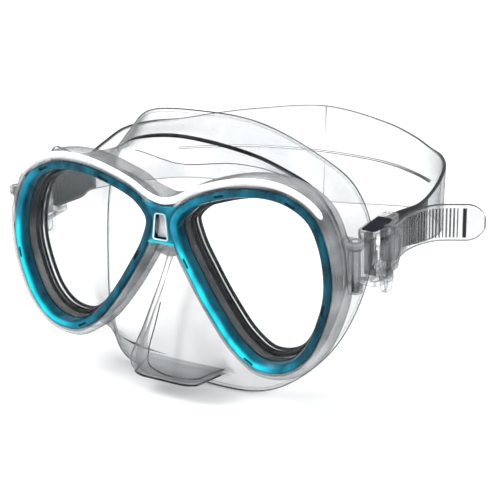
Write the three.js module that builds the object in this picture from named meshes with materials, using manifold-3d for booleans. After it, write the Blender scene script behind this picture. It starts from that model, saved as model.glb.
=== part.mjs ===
// Two-window diving mask: clear frame, teal lens bezel, silicone skirt with a nose pocket,
// and a silicone strap held by two swivelling buckles. Millimetres, +Z up, the lenses face -Y.
// The origin is the middle of the face seal, and +X is the wearer's left.
import * as THREE from 'three';
import { mergeVertices } from 'three/addons/utils/BufferGeometryUtils.js';
import Module from 'manifold-3d';

const wasm = await Module();
wasm.setup();

// ---------- driving dimensions ----------
const GAP = 0.3;                    // clearance between neighbouring pieces
const FRONT = -60;                  // front face of the bezel
const BEZEL_DEPTH = 5.5;
const BEZEL_WIDTH = 4;
const BEZEL_CHAMFER = 0.9;
const GLASS_THICKNESS = 4;
const GLASS_INSET = 1.5;            // glass edge, inside the bezel's outer edge
const GLASS_BEVEL = 0.6;
const GROOVE_WALL = 1.2;            // silicone round the glass edge
const FLANGE_WIDTH = 5;             // silicone behind the glass, from the bezel's outer edge
const TUBE_OUTSET = 2.6;            // skirt neck in the frame's window, from the bezel's outer edge
const FRAME_FRONT = FRONT + 0.9;
const FRAME_BACK = FRONT + 14.5;
const FRAME_LIP = 2.2;              // depth of the frame's rear lip
const RIM = { side: 3.9, top: 4.2, bottom: 3.6, nose: 2 };   // frame width outside the bezel
const EYE_X = 42;                   // middle of each lens
const RING_POINTS = 48;
const SKIRT_POINTS = 40;
const SKIRT_WALL = 2;
const RIM_WALL = 1.6;
const NOSE_WALL = 1.6;

const SWIVEL = { x: 80.6, y: -49.6, z: 10.4, yaw: 3, pitch: 5 };   // buckle's pin and rest angles
const EAR = { inner: 7.7, outer: 10.7, r: 2.9, root: 5.6 };
const KNUCKLE_R = 2.8;
const SWIVEL_PIN_R = 1.2;
const CHEEK = { inner: 8.5, outer: 11.2, start: 8, end: 33.4, low: -4, high: 4.4 };
const ROLLER = { y: 29.6, r: 1.6, pin: 0.8 };
const LEVER = { x: 5.6, y: 17.5, barrel: 1.9, pin: 0.8, front: 6, half: 8.2 };

const STRAP_THICKNESS = 1.6;
const STRAP_WIDTH = 16;
const WRAP_R = ROLLER.r + GAP + STRAP_THICKNESS / 2;
const SLIT_Z = 16.3;
const SLIT_HEIGHT = 0.8;
const SLIT_END_Y = 66;
const HEAD_STEPS = 36;
const WRAP_STEPS = 10;
const TAIL_STEPS = 20;
const TIP_R = 8;                    // length of the rounded tip
const TIP_ELLIPSE = 8.3;

// bezel's outer edge round the wearer's left eye, (x, z), anticlockwise from the temple
const EYE_OUTLINE = [
  [75.1, 3], [72.4, 19], [66.5, 30], [55, 36.3], [40, 37.3], [24, 33.8], [10.5, 27.8], [4.2, 19.5],
  [6.5, 9], [13.8, -4.3], [22.4, -17.4], [33, -30], [44, -36.6], [56.5, -35.2], [66, -27], [73.2, -10],
];

// skirt half-stations, top centre to bottom centre, (x, y, z)
const SKIRT_FRONT = [
  [0, -45, 27], [22, -45, 36], [40, -45, 38], [58, -45, 34.5], [73.5, -45, 10],
  [71.5, -45, -13], [57, -45, -34], [38, -45, -34.5], [0, -45, -30],
];
const SKIRT_FOLD = [
  [0, -43, 50.5], [25, -37, 46], [38, -31, 40], [54, -26, 29.3], [65, -24, 8],
  [64, -26, -16], [54, -33, -34], [36, -40, -44], [0, -43, -47],
];
const SKIRT_RIM = [
  [0, -26, 58], [26, -25.3, 55.8], [45, -13, 43.5], [60, -3.5, 28.5], [67.5, 0, 6],
  [65.5, -5, -20], [56, -17, -43.5], [37, -32.5, -57.4], [0, -36, -59],
];

// nose pocket sections from the bridge down: height, front, half widths in front and behind
const NOSE_BACK = -38;
const NOSE = [
  { z: 3, y: -52.5, front: 2.4, back: 5.5 },
  { z: -12, y: -55.5, front: 6, back: 12 },
  { z: -30, y: -59, front: 11.5, back: 18.5 },
  { z: -45, y: -61.6, front: 16.5, back: 21 },
  { z: -50.5, y: -60, front: 15, back: 20 },
];

// strap's middle line from the back of the head to the buckle, with its top and bottom edges
const STRAP_LINE = [
  { x: 0, y: 96, top: 40, bottom: -10 },
  { x: 34.5, y: 90, top: 36.5, bottom: -6 },
  { x: 54, y: 78, top: 34, bottom: -1.5 },
  { x: 67, y: 66, top: 32, bottom: 0.5 },
  { x: 77, y: 53, top: 32, bottom: 1 },
  { x: 83.6, y: 38, top: 30.5, bottom: 2 },
  { x: 85.4, y: 23, top: 26, bottom: 3 },
  { x: 84.4, y: 8, top: 22.2, bottom: 4.6 },
];
// strap's tail in the buckle's own frame, (outward, back)
const TAIL_LINE = [[2.7, 33], [2.8, 41.8], [5.3, 50], [9, 55.6], [13.9, 58.7], [19.2, 61.2], [27, 65]];

// ---------- solids ----------
function toSolid(geometry) {
  const bare = geometry.clone();
  bare.deleteAttribute('normal');
  bare.deleteAttribute('uv');
  const merged = mergeVertices(bare, 1e-5);
  return new wasm.Manifold(new wasm.Mesh({
    numProp: 3,
    vertProperties: new Float32Array(merged.attributes.position.array),
    triVerts: new Uint32Array(merged.index.array),
  }));
}

function toGeometry(solid) {
  const mesh = solid.getMesh();
  const geometry = new THREE.BufferGeometry();
  geometry.setAttribute('position', new THREE.BufferAttribute(new Float32Array(mesh.vertProperties), 3));
  geometry.setIndex(new THREE.BufferAttribute(new Uint32Array(mesh.triVerts), 1));
  geometry.computeVertexNormals();
  return geometry;
}

const join = (...parts) => toGeometry(parts.map(toSolid).reduce((a, b) => a.add(b)));

const cut = (part, ...tools) => toGeometry(tools.map(toSolid).reduce((a, b) => a.subtract(b), toSolid(part)));

function mirrored(geometry) {
  const copy = geometry.clone().applyMatrix4(new THREE.Matrix4().makeScale(-1, 1, 1));
  const index = copy.index.array;
  for (let i = 0; i < index.length; i += 3) {
    [index[i + 1], index[i + 2]] = [index[i + 2], index[i + 1]];
  }
  return copy;
}

const bothSides = (geometry) => join(geometry, mirrored(geometry));

// A closed body through rings of points that run anticlockwise as seen from before the first ring.
function loft(rings) {
  const count = rings[0].length;
  const middle = (ring) => ring.reduce((sum, p) => sum.add(p), new THREE.Vector3()).divideScalar(count);
  const points = [...rings.flat(), middle(rings[0]), middle(rings.at(-1))];
  const first = points.length - 2;
  const last = points.length - 1;
  const base = (rings.length - 1) * count;
  const index = [];
  for (let i = 0; i < count; i += 1) {
    const next = (i + 1) % count;
    for (let k = 0; k < rings.length - 1; k += 1) {
      const a = k * count;
      const b = a + count;
      index.push(a + i, b + i, a + next, b + i, b + next, a + next);
    }
    index.push(first, i, next, last, base + next, base + i);
  }
  const geometry = new THREE.BufferGeometry();
  geometry.setAttribute('position', new THREE.Float32BufferAttribute(points.flatMap((p) => p.toArray()), 3));
  geometry.setIndex(index);
  return geometry;
}

// A plate with the outline (x, z), from y0 to y1.
function plateXZ(outline, y0, y1) {
  const shape = new THREE.Shape(outline.map(([x, z]) => new THREE.Vector2(x, z)));
  const geometry = new THREE.ExtrudeGeometry(shape, { depth: y1 - y0, bevelEnabled: false });
  return mergedIndex(geometry.rotateX(Math.PI / 2).translate(0, y1, 0));
}

// A plate with the outline (x, y), from z0 to z1.
function plateXY(outline, z0, z1) {
  const shape = new THREE.Shape(outline.map(([x, y]) => new THREE.Vector2(x, y)));
  const geometry = new THREE.ExtrudeGeometry(shape, { depth: z1 - z0, bevelEnabled: false });
  return mergedIndex(geometry.translate(0, 0, z0));
}

// A plate with the outline (y, z), from x0 to x1.
function plateYZ(outline, x0, x1) {
  const turn = new THREE.Matrix4().set(0, 0, 1, 0, 1, 0, 0, 0, 0, 1, 0, 0, 0, 0, 0, 1);
  return plateXY(outline, x0, x1).applyMatrix4(turn);
}

function mergedIndex(geometry) {
  geometry.deleteAttribute('normal');
  geometry.deleteAttribute('uv');
  return mergeVertices(geometry, 1e-5);
}

function block(x, y, z) {
  const geometry = new THREE.BoxGeometry(x[1] - x[0], y[1] - y[0], z[1] - z[0]);
  return mergedIndex(geometry.translate((x[0] + x[1]) / 2, (y[0] + y[1]) / 2, (z[0] + z[1]) / 2));
}

// A round bar along Z.
function bar(radius, z0, z1, x = 0, y = 0, sides = 20) {
  const geometry = new THREE.CylinderGeometry(radius, radius, z1 - z0, sides);
  return mergedIndex(geometry.rotateX(Math.PI / 2).translate(x, y, (z0 + z1) / 2));
}

// ---------- the eye outline ----------
const eyeCurve = new THREE.CatmullRomCurve3(
  EYE_OUTLINE.map(([x, z]) => new THREE.Vector3(x, 0, z)), true, 'centripetal');

// Ring of points at a distance outside the bezel's outer edge, which may depend on the normal.
function eyeRing(offset, y) {
  return Array.from({ length: RING_POINTS }, (_, i) => {
    const point = eyeCurve.getPointAt(i / RING_POINTS);
    const tangent = eyeCurve.getTangentAt(i / RING_POINTS);
    const normal = new THREE.Vector3(tangent.z, 0, -tangent.x);
    const distance = typeof offset === 'function' ? offset(normal) : offset;
    return point.addScaledVector(normal, distance).setY(y);
  });
}

const eyeBody = (offset, y0, y1) => loft([eyeRing(offset, y0), eyeRing(offset, y1)]);

function rimWidth(normal, inset = 0) {
  const across = normal.x > 0 ? RIM.side : RIM.nose;
  const along = normal.z > 0 ? RIM.top : RIM.bottom;
  return across * normal.x ** 2 + along * normal.z ** 2 - inset;
}

// ---------- bezel ----------
const BEZEL_BACK = FRONT + BEZEL_DEPTH;
const BRIDGE_OUTLINE = [
  [-13, 8], [0, 9.2], [13, 8], [15, 29], [9, 26.6], [0, 24.9], [-9, 26.6], [-15, 29],
];
const WINDOW_OUTLINE = [[-3.4, 11.2], [3.4, 11.2], [2.3, 21.8], [-2.3, 21.8]];
const BRIDGE_MIDDLE_Z = 17;
const SNAP_STATIONS = [8, 15, 25, 35, 46];     // places along the ring
const SNAP_POCKET = [[-2.4, 2.4], [-1, 1.1], [-0.6, 0.6]];

function bezelRing() {
  const outer = loft([
    eyeRing(-BEZEL_CHAMFER, FRONT),
    eyeRing(0, FRONT + BEZEL_CHAMFER),
    eyeRing(0, BEZEL_BACK),
  ]);
  const hole = loft([
    eyeRing(-BEZEL_WIDTH + BEZEL_CHAMFER, FRONT - 1),
    eyeRing(-BEZEL_WIDTH + BEZEL_CHAMFER, FRONT - 0.01),
    eyeRing(-BEZEL_WIDTH, FRONT + BEZEL_CHAMFER),
    eyeRing(-BEZEL_WIDTH, BEZEL_BACK + 1),
  ]);
  return cut(outer, hole);
}

// Shallow pockets in the front face, where the bezel's clips engage the frame.
function snapPockets() {
  const ring = eyeRing(-BEZEL_WIDTH / 2, FRONT);
  return SNAP_STATIONS.map((i) => {
    const along = ring[(i + 1) % RING_POINTS].clone().sub(ring.at(i - 1));
    const turned = block(...SNAP_POCKET).rotateY(-Math.atan2(along.z, along.x));
    return turned.translate(ring[i].x, FRONT, ring[i].z);
  });
}

function bezelGeometry() {
  const ring = cut(bezelRing(), ...snapPockets());
  const bridge = cut(
    plateXZ(BRIDGE_OUTLINE, FRONT + 0.6, BEZEL_BACK),
    eyeBody(-1, FRONT - 1, BEZEL_BACK + 1),
    mirrored(eyeBody(-1, FRONT - 1, BEZEL_BACK + 1)),
  );
  const window = plateXZ(WINDOW_OUTLINE, FRONT - 1, BEZEL_BACK + 1);
  return cut(join(ring, mirrored(ring), bridge), window);
}

// ---------- lenses ----------
const GLASS_FRONT = BEZEL_BACK + GAP;
const GLASS_BACK = GLASS_FRONT + GLASS_THICKNESS;

function lensGeometry() {
  return loft([
    eyeRing(-GLASS_INSET - GLASS_BEVEL, GLASS_FRONT),
    eyeRing(-GLASS_INSET, GLASS_FRONT + GLASS_BEVEL),
    eyeRing(-GLASS_INSET, GLASS_BACK - GLASS_BEVEL),
    eyeRing(-GLASS_INSET - GLASS_BEVEL, GLASS_BACK),
  ]);
}

// ---------- buckle's own frame ----------
const radians = THREE.MathUtils.degToRad;
const buckleMatrix = new THREE.Matrix4().compose(
  new THREE.Vector3(SWIVEL.x, SWIVEL.y, SWIVEL.z),
  new THREE.Quaternion().setFromEuler(new THREE.Euler(radians(SWIVEL.pitch), 0, -radians(SWIVEL.yaw), 'ZXY')),
  new THREE.Vector3(1, 1, 1),
);

// ---------- frame ----------
const LIP_FRONT = FRAME_BACK - FRAME_LIP;
const BRIDGE_PLATE = [
  [-14, 3], [-9, 5], [0, 2], [9, 5], [14, 3], [18, 33], [9, 30.6], [0, 27.8], [-9, 30.6], [-18, 33],
];
const BROW_BAND = [
  [-20, 30], [0, 25.3], [20, 30], [19, 34.6], [9, 30.8], [0, 27.8], [-9, 30.8], [-19, 34.6],
];
const BEZEL_CLEARANCE = 0.35;

function frameEye() {
  const body = loft([
    eyeRing((n) => rimWidth(n, 1.6), FRAME_FRONT),
    eyeRing((n) => rimWidth(n, 0.4), FRAME_FRONT + 1.2),
    eyeRing(rimWidth, FRAME_FRONT + 3),
    eyeRing(rimWidth, FRAME_BACK - 2.5),
    eyeRing((n) => rimWidth(n, 1), FRAME_BACK),
  ]);
  const ear = bar(EAR.r, -EAR.outer, EAR.outer);
  const earRoot = block([-EAR.root, 0], [-EAR.r, EAR.r], [-EAR.outer, EAR.outer]);
  return join(body, ear.applyMatrix4(buckleMatrix), earRoot.applyMatrix4(buckleMatrix));
}

function frameGeometry() {
  const eye = frameEye();
  const pocket = eyeBody(GAP, FRAME_FRONT - 2, LIP_FRONT);
  const opening = eyeBody(-TUBE_OUTSET + GAP, LIP_FRONT - 1, FRAME_BACK + 1);
  const clearance = KNUCKLE_R + 0.4;
  const knuckleSlot = block([-clearance, 12], [-clearance, 12], [-EAR.inner, EAR.inner]);
  const pinHole = bar(SWIVEL_PIN_R + GAP, -EAR.outer - 1, EAR.outer + 1);
  const swivelCuts = [knuckleSlot.applyMatrix4(buckleMatrix), pinHole.applyMatrix4(buckleMatrix)];
  const tools = [pocket, opening, ...swivelCuts];
  const bridge = plateXZ(BRIDGE_PLATE, BEZEL_BACK + GAP, FRAME_BACK);
  const brow = plateXZ(BROW_BAND, FRAME_FRONT + 1, FRAME_BACK);
  const noseRelief = loft(noseRings(GAP + 0.4));
  const away = (z) => z + Math.sign(z - BRIDGE_MIDDLE_Z) * BEZEL_CLEARANCE;
  const wider = BRIDGE_OUTLINE.map(([x, z]) => [x * 1.04, away(z)]);
  const bezelRelief = plateXZ(wider, FRONT - 1, BEZEL_BACK + GAP);
  const solid = join(eye, mirrored(eye), bridge, brow);
  return cut(solid, ...tools, ...tools.map(mirrored), noseRelief, bezelRelief);
}

// ---------- skirt ----------
function closedStation(half) {
  const other = half.slice(1, -1).reverse().map(([x, y, z]) => [-x, y, z]);
  return [...half, ...other].map((p) => new THREE.Vector3(...p)).reverse();
}

// Station points pulled towards the middle by a wall thickness and moved along Y.
function skirtRing(half, inset, shift) {
  const curve = new THREE.CatmullRomCurve3(closedStation(half), true, 'centripetal');
  return Array.from({ length: SKIRT_POINTS }, (_, i) => {
    const point = curve.getPoint(i / SKIRT_POINTS);
    const radial = new THREE.Vector3(point.x, 0, point.z).normalize();
    return point.addScaledVector(radial, -inset).add(new THREE.Vector3(0, shift, 0));
  });
}

// Nose pocket sections grown by a margin; the floor may be raised.
function noseRings(grow, floorRise = 0) {
  return NOSE.map(({ z, y, front, back }, k) => {
    const f = front + grow;
    const b = back + grow;
    const face = y - grow;
    const half = [[f * 0.6, face], [f, face + 2], [(f + b) / 2, (face + NOSE_BACK) / 2], [b, NOSE_BACK]];
    const other = half.map(([x, py]) => [-x, py]).reverse();
    const height = k === NOSE.length - 1 ? z + floorRise : z;
    return [...half, ...other].map(([x, py]) => new THREE.Vector3(x, py, height));
  });
}

function skirtGeometry() {
  const outer = loft([skirtRing(SKIRT_FRONT, 0, 0), skirtRing(SKIRT_FOLD, 0, 0), skirtRing(SKIRT_RIM, 0, 0)]);
  const inner = loft([
    skirtRing(SKIRT_FRONT, SKIRT_WALL, SKIRT_WALL),
    skirtRing(SKIRT_FOLD, SKIRT_WALL, 0),
    skirtRing(SKIRT_RIM, RIM_WALL, 0),
    skirtRing(SKIRT_RIM, RIM_WALL, 12),
  ]);
  const nose = loft(noseRings(0));
  const noseInside = loft(noseRings(-NOSE_WALL, SKIRT_WALL));
  const neck = eyeBody(-TUBE_OUTSET, LIP_FRONT - 1, -44);
  const flange = eyeBody(0, GLASS_FRONT, LIP_FRONT - GAP);
  const glassSeat = eyeBody(-GROOVE_WALL, GLASS_FRONT - 1, GLASS_BACK + GAP);
  const sight = eyeBody(-FLANGE_WIDTH, GLASS_FRONT - 1, -40);
  const necks = bothSides(join(neck, flange));
  const hollows = [inner, noseInside, glassSeat, mirrored(glassSeat), sight, mirrored(sight)];
  return cut(join(outer, nose, necks), ...hollows);
}

// ---------- strap ----------
const localUp = new THREE.Vector3(0, 0, 1).transformDirection(buckleMatrix);

const flipX = (v) => new THREE.Vector3(-v.x, v.y, v.z);

// Each station is the strap's middle, its up vector and its half height.
function headStations() {
  const wrapStart = new THREE.Vector3(-WRAP_R, ROLLER.y, 0).applyMatrix4(buckleMatrix);
  const line = [...STRAP_LINE, { x: wrapStart.x, y: wrapStart.y + 14, top: 21, bottom: 5 }];
  const points = line.map((p) => new THREE.Vector3(p.x, p.y, (p.top + p.bottom) / 2));
  const heights = line.map((p) => (p.top - p.bottom) / 2);
  points.push(wrapStart);
  heights.push(STRAP_WIDTH / 2);
  const spans = points.length - 1;
  const curve = new THREE.CatmullRomCurve3([flipX(points[1]), ...points], false, 'centripetal');
  return Array.from({ length: HEAD_STEPS }, (_, i) => {
    const t = i / HEAD_STEPS * spans;
    const k = Math.floor(t);
    const ease = THREE.MathUtils.smoothstep(t - k, 0, 1);
    const lean = THREE.MathUtils.smoothstep(t, spans - 3, spans);
    return {
      at: curve.getPoint((t + 1) / (spans + 1)),
      up: new THREE.Vector3(0, 0, 1).lerp(localUp, lean).normalize(),
      half: THREE.MathUtils.lerp(heights[k], heights[k + 1], ease),
    };
  });
}

// Half a turn round the front of the roller.
function wrapStations() {
  return Array.from({ length: WRAP_STEPS + 1 }, (_, i) => {
    const angle = Math.PI + Math.PI * i / WRAP_STEPS;
    const x = Math.cos(angle) * WRAP_R;
    const y = ROLLER.y + Math.sin(angle) * WRAP_R;
    const at = new THREE.Vector3(x, y, 0).applyMatrix4(buckleMatrix);
    return { at, up: localUp, half: STRAP_WIDTH / 2 };
  });
}

function tailStations() {
  const points = TAIL_LINE.map(([x, y]) => new THREE.Vector3(x, y, 0));
  const tail = new THREE.CatmullRomCurve3(points, false, 'centripetal');
  return Array.from({ length: TAIL_STEPS + 1 }, (_, i) => {
    const t = i / TAIL_STEPS;
    const past = Math.max(TIP_R - (1 - t) * tail.getLength(), 0);
    const rounding = Math.sqrt(1 - (past / TIP_ELLIPSE) ** 2);
    const at = tail.getPointAt(t).applyMatrix4(buckleMatrix);
    return { at, up: localUp, half: STRAP_WIDTH / 2 * rounding };
  });
}

function band(stations, thickness, edges) {
  const rings = stations.map(({ at, up, half }, i) => {
    const before = stations[Math.max(i - 1, 0)].at;
    const after = stations[Math.min(i + 1, stations.length - 1)].at;
    const along = after.clone().sub(before).normalize();
    const side = along.cross(up).normalize().multiplyScalar(thickness / 2);
    const [low, high] = edges(at, up, half);
    return [low.clone().add(side), high.clone().add(side), high.clone().sub(side), low.clone().sub(side)];
  });
  return loft(rings);
}

function strapGeometry() {
  const half = [...headStations(), ...wrapStations(), ...tailStations()];
  const other = half.slice(1).reverse().map((s) => ({ at: flipX(s.at), up: flipX(s.up), half: s.half }));
  const stations = [...other, ...half];
  const whole = band(stations, STRAP_THICKNESS, (at, up, h) => [
    at.clone().addScaledVector(up, -h), at.clone().addScaledVector(up, h)]);
  const back = stations.filter(({ at }) => at.y > SLIT_END_Y);
  const slit = band(back, STRAP_THICKNESS * 3, (at) => [
    at.clone().setZ(SLIT_Z - SLIT_HEIGHT / 2), at.clone().setZ(SLIT_Z + SLIT_HEIGHT / 2)]);
  return cut(whole, slit);
}

// ---------- buckle pieces, in the buckle's own frame ----------
function cheekOutline() {
  const end = Array.from({ length: 7 }, (_, i) => {
    const angle = -Math.PI / 2 + Math.PI * i / 6;
    return [Math.sin(angle) * 4.2, CHEEK.end - 4.2 + Math.cos(angle) * 4.2];
  }).reverse();
  return [[CHEEK.low, CHEEK.start + 2], [-2, CHEEK.start], [CHEEK.high, CHEEK.start],
    [LEVER.x + 1.6, LEVER.y - 2.4], [LEVER.x + 2.2, LEVER.y], [LEVER.x + 1.2, LEVER.y + 2.4],
    [CHEEK.high, LEVER.y + 5], ...end];
}

// flat tab under the lower cheek, (back, up)
const GUARD_OUTLINE = [[19, -10.7], [28, -10.7], [27.4, -18.7], [26, -20.1], [21, -19.1]];

function buckleBody() {
  const cheek = plateXY(cheekOutline(), CHEEK.inner, CHEEK.outer);
  const otherCheek = plateXY(cheekOutline(), -CHEEK.outer, -CHEEK.inner);
  const crossBlock = block([-3, 2.8], [CHEEK.start, CHEEK.start + 5], [-CHEEK.outer, CHEEK.outer]);
  const web = block([-2, 2.4], [1, CHEEK.start + 1], [-EAR.inner + GAP, EAR.inner - GAP]);
  const knuckle = bar(KNUCKLE_R, -EAR.inner + GAP, EAR.inner - GAP);
  const tieDepth = [CHEEK.start + 3, CHEEK.start + 12];
  const tie = block([CHEEK.low, CHEEK.low + 1.3], tieDepth, [-CHEEK.outer, CHEEK.outer]);
  const guardTab = plateYZ(GUARD_OUTLINE, 0.4, 3);
  return cut(
    join(cheek, otherCheek, crossBlock, web, knuckle, tie, guardTab),
    bar(SWIVEL_PIN_R + GAP, -12, 12),
    bar(ROLLER.pin + GAP, -10.4, 10.4, 0, ROLLER.y, 16),
    bar(LEVER.pin + GAP, -10.4, 10.4, LEVER.x, LEVER.y, 16),
  );
}

function strapRoller() {
  return cut(
    bar(ROLLER.r, -CHEEK.inner + GAP, CHEEK.inner - GAP, 0, ROLLER.y),
    bar(ROLLER.pin + GAP, -12, 12, 0, ROLLER.y, 16),
  );
}

// Thumb pad in front of the pin, toothed nose behind it.
const LEVER_OUTLINE = [
  [LEVER.x - 0.4, LEVER.front], [LEVER.x + 1.1, LEVER.front + 0.4], [LEVER.x + 1.5, LEVER.front + 3],
  [LEVER.x + 1.5, LEVER.y], [LEVER.x + 1.2, LEVER.y + 4], [5.9, 27.6], [4.5, 28], [4.5, 27], [4.9, 26.6],
  [4.5, 26.2], [4.5, 25.2], [4.9, 24.8], [4.6, 24.3],
  [LEVER.x - 0.6, LEVER.y + 3], [LEVER.x - 0.4, LEVER.y - 3],
];

function releaseLever() {
  const plate = plateXY(LEVER_OUTLINE, -LEVER.half, LEVER.half);
  const barrel = bar(LEVER.barrel, -LEVER.half, LEVER.half, LEVER.x, LEVER.y, 16);
  return cut(join(plate, barrel), bar(LEVER.pin + GAP, -12, 12, LEVER.x, LEVER.y, 16));
}

// Leaf spring: a bent steel strip between the cross block and the thumb pad.
function leverSpring() {
  const t = 0.3;
  const line = [[3.2, 12.6], [3.2, 10.4], [3.5, 9.2], [4.2, 8.2], [4.7, 7.4]];
  return plateXY([...line, ...line.map(([x, y]) => [x + t, y + t * 0.4]).reverse()].reverse(), -3, 3);
}

// ---------- assembly ----------
const clear = () => new THREE.MeshStandardMaterial({ color: 0xe6ecee, roughness: 0.12, metalness: 0 });
const silicone = () => new THREE.MeshStandardMaterial({ color: 0xf1f4f5, roughness: 0.3, metalness: 0 });
const teal = () => new THREE.MeshStandardMaterial({ color: 0x0f8fa6, roughness: 0.15, metalness: 0 });
const glass = () => new THREE.MeshStandardMaterial({ color: 0xf4fafa, roughness: 0.03, metalness: 0 });
const smoke = () => new THREE.MeshStandardMaterial({ color: 0x2a2d30, roughness: 0.25, metalness: 0 });
const steel = () => new THREE.MeshStandardMaterial({ color: 0xb9bec2, roughness: 0.22, metalness: 1 });

function named(name, geometry, material) {
  const mesh = new THREE.Mesh(geometry, material);
  mesh.name = name;
  return mesh;
}

function buckle(side, sign) {
  const unit = new THREE.Group();
  unit.applyMatrix4(buckleMatrix);
  unit.add(
    named(`buckle_body_${side}`, buckleBody(), clear()),
    named(`swivel_pin_${side}`, bar(SWIVEL_PIN_R, -EAR.outer + GAP, EAR.outer - GAP), steel()),
    named(`strap_roller_${side}`, strapRoller(), smoke()),
    named(`roller_pin_${side}`, bar(ROLLER.pin, -10.2, 10.2, 0, ROLLER.y, 16), steel()),
    named(`release_lever_${side}`, releaseLever(), clear()),
    named(`lever_pin_${side}`, bar(LEVER.pin, -10.2, 10.2, LEVER.x, LEVER.y, 16), steel()),
    named(`lever_spring_${side}`, leverSpring(), steel()),
  );
  const hand = new THREE.Group();
  hand.scale.x = sign;
  hand.add(unit);
  return hand;
}

const mask = new THREE.Group();
mask.add(
  named('frame', frameGeometry(), clear()),
  named('bezel', bezelGeometry(), teal()),
  named('lens_left', lensGeometry(), glass()),
  named('lens_right', mirrored(lensGeometry()), glass()),
  named('skirt', skirtGeometry(), silicone()),
  named('strap', strapGeometry(), silicone()),
  buckle('left', 1),
  buckle('right', -1),
);

export default mask;
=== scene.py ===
import math

import bmesh
import bpy
import numpy as np
from mathutils import Matrix, Vector
from mathutils.kdtree import KDTree


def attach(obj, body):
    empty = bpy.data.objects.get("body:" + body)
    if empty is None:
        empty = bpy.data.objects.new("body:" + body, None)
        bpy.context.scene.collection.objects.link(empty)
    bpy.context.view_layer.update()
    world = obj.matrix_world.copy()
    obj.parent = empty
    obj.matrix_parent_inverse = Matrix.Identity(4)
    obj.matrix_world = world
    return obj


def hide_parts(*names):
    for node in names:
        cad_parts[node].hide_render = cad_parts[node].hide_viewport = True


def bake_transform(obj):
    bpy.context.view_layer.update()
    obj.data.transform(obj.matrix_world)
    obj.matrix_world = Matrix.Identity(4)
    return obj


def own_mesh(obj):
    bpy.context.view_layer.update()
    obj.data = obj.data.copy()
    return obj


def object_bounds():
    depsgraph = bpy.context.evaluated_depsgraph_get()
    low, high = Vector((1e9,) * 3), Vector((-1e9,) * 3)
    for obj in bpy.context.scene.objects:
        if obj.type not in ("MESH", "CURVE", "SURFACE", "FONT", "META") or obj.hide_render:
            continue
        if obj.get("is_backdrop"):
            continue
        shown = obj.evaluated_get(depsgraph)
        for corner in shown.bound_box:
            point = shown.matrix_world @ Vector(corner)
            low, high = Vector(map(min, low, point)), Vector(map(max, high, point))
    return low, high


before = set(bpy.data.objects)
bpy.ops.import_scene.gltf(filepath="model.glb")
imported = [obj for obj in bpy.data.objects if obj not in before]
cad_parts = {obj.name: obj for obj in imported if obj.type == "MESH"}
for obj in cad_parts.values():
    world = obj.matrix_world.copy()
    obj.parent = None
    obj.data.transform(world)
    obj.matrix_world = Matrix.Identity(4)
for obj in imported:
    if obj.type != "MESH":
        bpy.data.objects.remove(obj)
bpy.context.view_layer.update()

# Looks of the diving mask. Shapes are written in millimetres, in the row frame:
# +X is the wearer's left, the lenses face -Y, +Z is up.
MM = 0.001

# ---------- camera ----------
CAMERA_PLACE = (0.24077, -0.42972, 0.14982)
CAMERA_RIGHT = (0.8786, 0.4775, 0.008)
CAMERA_UP = (-0.154, 0.2674, 0.9512)
CAMERA_BACK = (0.4521, -0.8369, 0.3084)
CAMERA_LENS = 82.8


def make_camera():
    data = bpy.data.cameras.new("camera")
    data.lens = CAMERA_LENS
    data.sensor_width = 36
    data.clip_start, data.clip_end = 0.01, 50
    camera = bpy.data.objects.new("camera", data)
    bpy.context.scene.collection.objects.link(camera)
    turn = Matrix((CAMERA_RIGHT, CAMERA_UP, CAMERA_BACK)).transposed()
    camera.matrix_world = Matrix.Translation(CAMERA_PLACE) @ turn.to_4x4()
    bpy.context.scene.camera = camera


make_camera()
bpy.context.scene.view_settings.view_transform = "Standard"
bpy.context.scene.cycles.transparent_max_bounces = 48

# ---------- the CAD's driving dimensions ----------
GAP = 0.3
FRONT = -60
BEZEL_BACK = FRONT + 5.5
GLASS_FRONT = BEZEL_BACK + GAP
GLASS_BACK = GLASS_FRONT + 4
GLASS_INSET = 1.5
FRAME_FRONT = FRONT + 0.9
FRAME_BACK = FRONT + 14.5
LIP_FRONT = FRAME_BACK - 2.2
RIM = {"side": 3.9, "top": 4.2, "bottom": 3.6, "nose": 2}
TUBE_OUTSET = 2.6
EYE_OUTLINE = [
    (75.1, 3), (72.4, 19), (66.5, 30), (55, 36.3), (40, 37.3), (24, 33.8), (10.5, 27.8), (4.2, 19.5),
    (6.5, 9), (13.8, -4.3), (22.4, -17.4), (33, -30), (44, -36.6), (56.5, -35.2), (66, -27), (73.2, -10),
]
SKIRT_FRONT = [
    (0, -45, 27), (22, -45, 36), (40, -45, 38), (58, -45, 34.5), (73.5, -45, 10),
    (71.5, -45, -13), (57, -45, -34), (38, -45, -34.5), (0, -45, -30),
]
SKIRT_FOLD = [
    (0, -43, 50.5), (25, -37, 46), (38, -31, 40), (54, -26, 29.3), (65, -24, 8),
    (64, -26, -16), (54, -33, -34), (36, -40, -44), (0, -43, -47),
]
SKIRT_RIM = [
    (0, -26, 58), (26, -25.3, 55.8), (45, -13, 43.5), (60, -3.5, 28.5), (67.5, 0, 6),
    (65.5, -5, -20), (56, -17, -43.5), (37, -32.5, -57.4), (0, -36, -59),
]
NOSE_BACK = -38
NOSE = [  # height, front, half widths in front and behind
    (3, -52.5, 2.4, 5.5), (-12, -55.5, 6, 12), (-30, -59, 11.5, 18.5), (-45, -61.6, 16.5, 21),
    (-50.5, -60, 15, 20),
]
SWIVEL = {"place": (80.6, -49.6, 10.4), "yaw": 3, "pitch": 5}
ROLLER_Y, ROLLER_R = 29.6, 1.6
STRAP_THICKNESS, STRAP_WIDTH = 1.6, 16
WRAP_R = ROLLER_R + GAP + STRAP_THICKNESS / 2
SLIT_Z, SLIT_HEIGHT, SLIT_FRONT = 16.3, 0.8, 64
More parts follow.
